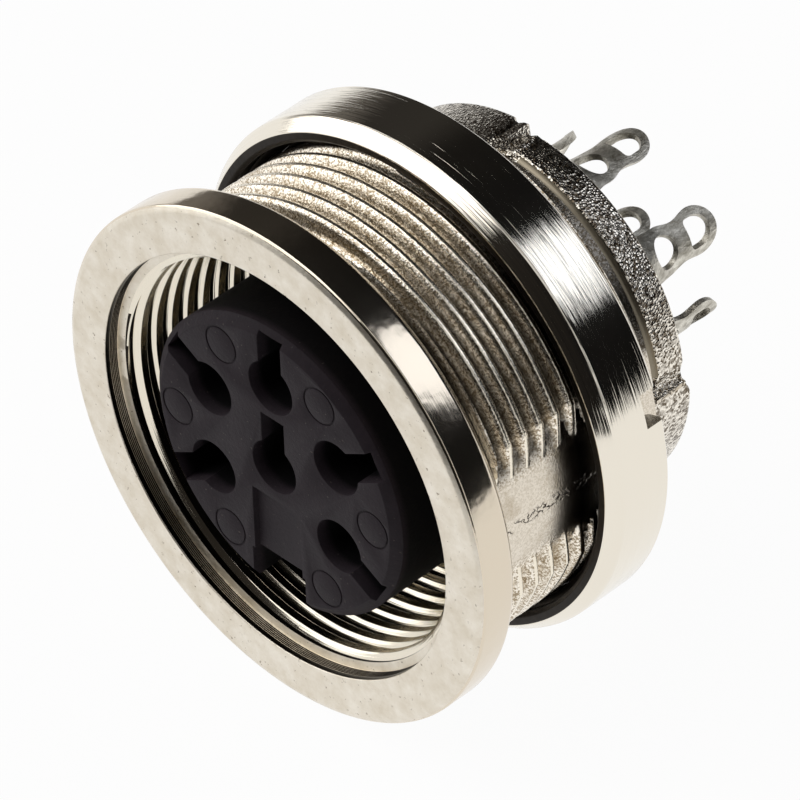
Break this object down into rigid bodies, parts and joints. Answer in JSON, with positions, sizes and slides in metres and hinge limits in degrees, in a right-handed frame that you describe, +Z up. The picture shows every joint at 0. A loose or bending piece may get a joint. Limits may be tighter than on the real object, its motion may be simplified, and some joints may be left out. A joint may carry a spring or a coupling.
{
  "type": "din connector",
  "caption": "Round panel-mount socket with a threaded metal shell, a ring nut, a moulded contact insert and solder tags at the rear.",
  "frame": {"origin": "on the connector's axis, in the plane of the flange's rear face that seats on the panel", "axes": "+Y along the axis to the rear, towards the solder tags; +Z up, with the plug's key at -Z"},
  "size_m": [0.02, 0.0182, 0.02],
  "materials": {
    "nickel_casting": "nickel plated die casting, grainy in the thread and polished on the flange",
    "nickel_turned": "turned and nickel plated, brushed round the axis",
    "black_moulding": "fine matte moulding",
    "grey_moulding": "matte moulding",
    "tinned_strip": "dull tinned strip"
  },
  "bodies": {
    "socket": {"housing": "nickel_casting", "contact_carrier": "black_moulding", "rear_insulator": "grey_moulding", "contact_top": "tinned_strip", "contact_upper_right": "tinned_strip", "contact_lower_right": "tinned_strip", "contact_upper_left": "tinned_strip", "contact_lower_left": "tinned_strip", "contact_centre": "tinned_strip"},
    "nut": {"ring_nut": "nickel_turned"}
  },
  "joints": [
    {"name": "nut_travel", "type": "slide", "parent": "socket", "child": "nut", "axis": [0, 1, 0], "range_m": [-0.0045, 0.0035]}
  ]
}
